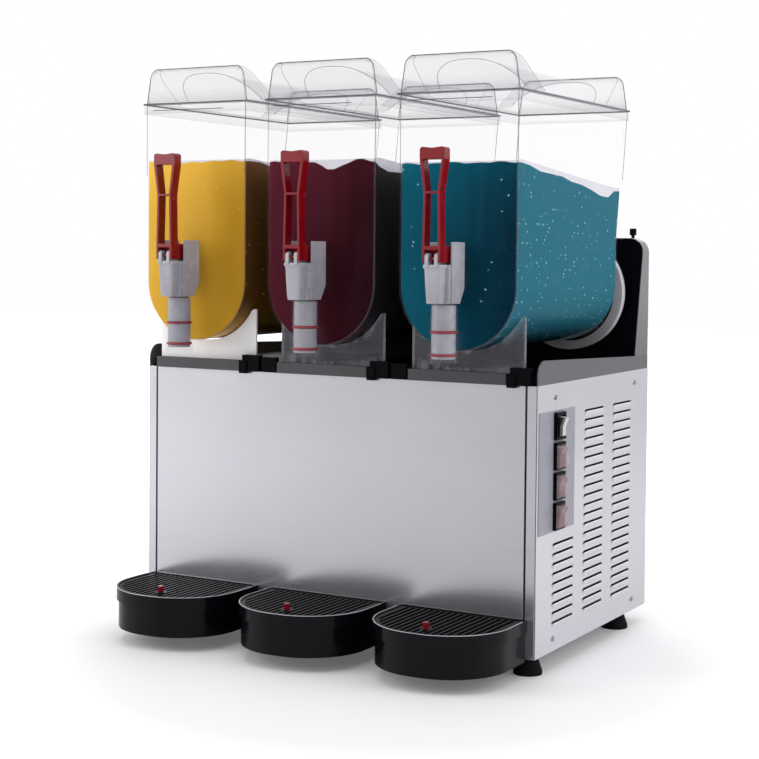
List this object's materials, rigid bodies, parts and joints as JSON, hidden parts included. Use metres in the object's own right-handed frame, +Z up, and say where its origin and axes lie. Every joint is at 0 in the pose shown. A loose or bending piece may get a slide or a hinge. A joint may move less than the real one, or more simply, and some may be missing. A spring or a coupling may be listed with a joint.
{
  "type": "slush machine",
  "caption": "Counter machine that chills and stirs iced drinks in clear lidded bowls, each with a red lever tap over a black drip tray, on a louvred steel body with a rear drive column.",
  "frame": {"origin": "On the counter, under the middle of the machine's bounding box", "axes": "+Z up, +X to the right of a user standing in front, the front faces -Y"},
  "size_m": [0.6343, 0.554, 0.8045],
  "materials": {
    "stainless": "satin",
    "bright_stainless": "polished",
    "black_plastic": "satin",
    "grey_plastic": "satin",
    "dark_grey_plastic": "satin",
    "black_rubber": "matte",
    "white_rubber": "matte",
    "red_rubber": "matte",
    "clear_plastic": "gloss",
    "yellow_slush": "icy",
    "red_slush": "icy",
    "blue_slush": "icy",
    "red_plastic": "gloss",
    "white_plastic": "gloss",
    "black_gloss_plastic": "gloss",
    "legend_plate": "satin",
    "steel": "bright",
    "motor_paint": "satin",
    "black_paint": "semi-gloss",
    "coil_aluminium": "matt"
  },
  "bodies": {
    "machine": {"base_pan": "stainless", "feet": "black_rubber", "front_posts": "stainless", "front_panel": "bright_stainless", "side_panel_left": "stainless", "side_panel_right": "stainless", "panel_screws": "steel", "rear_panel": "stainless", "cable_gland": "black_plastic", "deck": "black_plastic", "deck_skirts": "grey_plastic", "drip_gutters": "dark_grey_plastic", "bowl_latches": "black_plastic", "column_front": "black_plastic", "column_cover": "stainless", "thumb_knobs": "steel", "gear_motors": "motor_paint", "evaporators": "stainless", "bowl_gaskets": "white_rubber", "tap_cups": "white_plastic", "switch_plate": "legend_plate", "switch_frames": "black_plastic", "compressor": "black_paint", "condenser": "coil_aluminium", "fan_motor": "motor_paint", "bowl_1": "clear_plastic", "slush_1": "yellow_slush", "bowl_2": "clear_plastic", "slush_2": "red_slush", "bowl_3": "clear_plastic", "slush_3": "blue_slush"},
    "auger_1": {"auger_1": "white_plastic"},
    "lid_1": {"lid_1": "clear_plastic"},
    "tap_lever_1": {"tap_lever_1": "red_plastic"},
    "tap_piston_1": {"tap_piston_1": "white_plastic", "piston_seals_1": "red_rubber"},
    "drip_tray_1": {"drip_tray_1": "black_gloss_plastic"},
    "drip_grille_1": {"drip_grille_1": "black_gloss_plastic"},
    "tray_float_1": {"tray_float_1": "red_plastic"},
    "auger_2": {"auger_2": "white_plastic"},
    "lid_2": {"lid_2": "clear_plastic"},
    "tap_lever_2": {"tap_lever_2": "red_plastic"},
    "tap_piston_2": {"tap_piston_2": "white_plastic", "piston_seals_2": "red_rubber"},
    "drip_tray_2": {"drip_tray_2": "black_gloss_plastic"},
    "drip_grille_2": {"drip_grille_2": "black_gloss_plastic"},
    "tray_float_2": {"tray_float_2": "red_plastic"},
    "auger_3": {"auger_3": "white_plastic"},
    "lid_3": {"lid_3": "clear_plastic"},
    "tap_lever_3": {"tap_lever_3": "red_plastic"},
    "tap_piston_3": {"tap_piston_3": "white_plastic", "piston_seals_3": "red_rubber"},
    "drip_tray_3": {"drip_tray_3": "black_gloss_plastic"},
    "drip_grille_3": {"drip_grille_3": "black_gloss_plastic"},
    "tray_float_3": {"tray_float_3": "red_plastic"},
    "rocker_main": {"rocker_main": "white_plastic"},
    "rocker_1": {"rocker_1": "red_plastic"},
    "rocker_2": {"rocker_2": "red_plastic"},
    "rocker_3": {"rocker_3": "red_plastic"},
    "fan": {"fan_blade": "coil_aluminium"}
  },
  "joints": [
    {"name": "auger_turn_1", "type": "hinge", "parent": "machine", "child": "auger_1", "pos_m": [-0.2075, 0, 0.489], "axis": [0, 1, 0], "continuous": true},
    {"name": "lid_lift_1", "type": "slide", "parent": "machine", "child": "lid_1", "axis": [0, 0, 1], "range_m": [0, 0.12]},
    {"name": "tap_pull_1", "type": "hinge", "parent": "machine", "child": "tap_lever_1", "pos_m": [-0.2075, -0.231, 0.539], "axis": [1, 0, 0], "range_deg": [0, 35], "stiffness_Nm_per_rad": 1.2, "springref_deg": -14.32},
    {"name": "piston_rise_1", "type": "slide", "parent": "machine", "child": "tap_piston_1", "axis": [0, 0, 1], "range_m": [0, 0.0206]},
    {"name": "tray_lift_1", "type": "slide", "parent": "machine", "child": "drip_tray_1", "axis": [0, 0, 1], "range_m": [0, 0.006]},
    {"name": "grille_lift_1", "type": "slide", "parent": "drip_tray_1", "child": "drip_grille_1", "axis": [0, 0, 1], "range_m": [0, 0.03]},
    {"name": "float_rise_1", "type": "slide", "parent": "drip_grille_1", "child": "tray_float_1", "axis": [0, 0, 1], "range_m": [0, 0.01]},
    {"name": "auger_turn_2", "type": "hinge", "parent": "machine", "child": "auger_2", "pos_m": [0, 0, 0.489], "axis": [0, 1, 0], "continuous": true},
    {"name": "lid_lift_2", "type": "slide", "parent": "machine", "child": "lid_2", "axis": [0, 0, 1], "range_m": [0, 0.12]},
    {"name": "tap_pull_2", "type": "hinge", "parent": "machine", "child": "tap_lever_2", "pos_m": [0, -0.231, 0.539], "axis": [1, 0, 0], "range_deg": [0, 35], "stiffness_Nm_per_rad": 1.2, "springref_deg": -14.32},
    {"name": "piston_rise_2", "type": "slide", "parent": "machine", "child": "tap_piston_2", "axis": [0, 0, 1], "range_m": [0, 0.0206]},
    {"name": "tray_lift_2", "type": "slide", "parent": "machine", "child": "drip_tray_2", "axis": [0, 0, 1], "range_m": [0, 0.006]},
    {"name": "grille_lift_2", "type": "slide", "parent": "drip_tray_2", "child": "drip_grille_2", "axis": [0, 0, 1], "range_m": [0, 0.03]},
    {"name": "float_rise_2", "type": "slide", "parent": "drip_grille_2", "child": "tray_float_2", "axis": [0, 0, 1], "range_m": [0, 0.01]},
    {"name": "auger_turn_3", "type": "hinge", "parent": "machine", "child": "auger_3", "pos_m": [0.2075, 0, 0.489], "axis": [0, 1, 0], "continuous": true},
    {"name": "lid_lift_3", "type": "slide", "parent": "machine", "child": "lid_3", "axis": [0, 0, 1], "range_m": [0, 0.12]},
    {"name": "tap_pull_3", "type": "hinge", "parent": "machine", "child": "tap_lever_3", "pos_m": [0.2075, -0.231, 0.539], "axis": [1, 0, 0], "range_deg": [0, 35], "stiffness_Nm_per_rad": 1.2, "springref_deg": -14.32},
    {"name": "piston_rise_3", "type": "slide", "parent": "machine", "child": "tap_piston_3", "axis": [0, 0, 1], "range_m": [0, 0.0206]},
    {"name": "tray_lift_3", "type": "slide", "parent": "machine", "child": "drip_tray_3", "axis": [0, 0, 1], "range_m": [0, 0.006]},
    {"name": "grille_lift_3", "type": "slide", "parent": "drip_tray_3", "child": "drip_grille_3", "axis": [0, 0, 1], "range_m": [0, 0.03]},
    {"name": "float_rise_3", "type": "slide", "parent": "drip_grille_3", "child": "tray_float_3", "axis": [0, 0, 1], "range_m": [0, 0.01]},
    {"name": "rocker_tip_main", "type": "hinge", "parent": "machine", "child": "rocker_main", "pos_m": [0.311, -0.069, 0.321], "axis": [0, 1, 0], "range_deg": [-20, 0]},
    {"name": "rocker_tip_1", "type": "hinge", "parent": "machine", "child": "rocker_1", "pos_m": [0.311, -0.069, 0.2815], "axis": [0, 1, 0], "range_deg": [-20, 0]},
    {"name": "rocker_tip_2", "type": "hinge", "parent": "machine", "child": "rocker_2", "pos_m": [0.311, -0.069, 0.242], "axis": [0, 1, 0], "range_deg": [-20, 0]},
    {"name": "rocker_tip_3", "type": "hinge", "parent": "machine", "child": "rocker_3", "pos_m": [0.311, -0.069, 0.2025], "axis": [0, 1, 0], "range_deg": [-20, 0]},
    {"name": "fan_turn", "type": "hinge", "parent": "machine", "child": "fan", "pos_m": [0.15, 0.183, 0.159], "axis": [0, 1, 0], "continuous": true}
  ],
  "couplings": [
    {"joint": "piston_rise_1", "follows": "tap_pull_1", "m_per_rad": 0.0335},
    {"joint": "piston_rise_2", "follows": "tap_pull_2", "m_per_rad": 0.0335},
    {"joint": "piston_rise_3", "follows": "tap_pull_3", "m_per_rad": 0.0335}
  ]
}
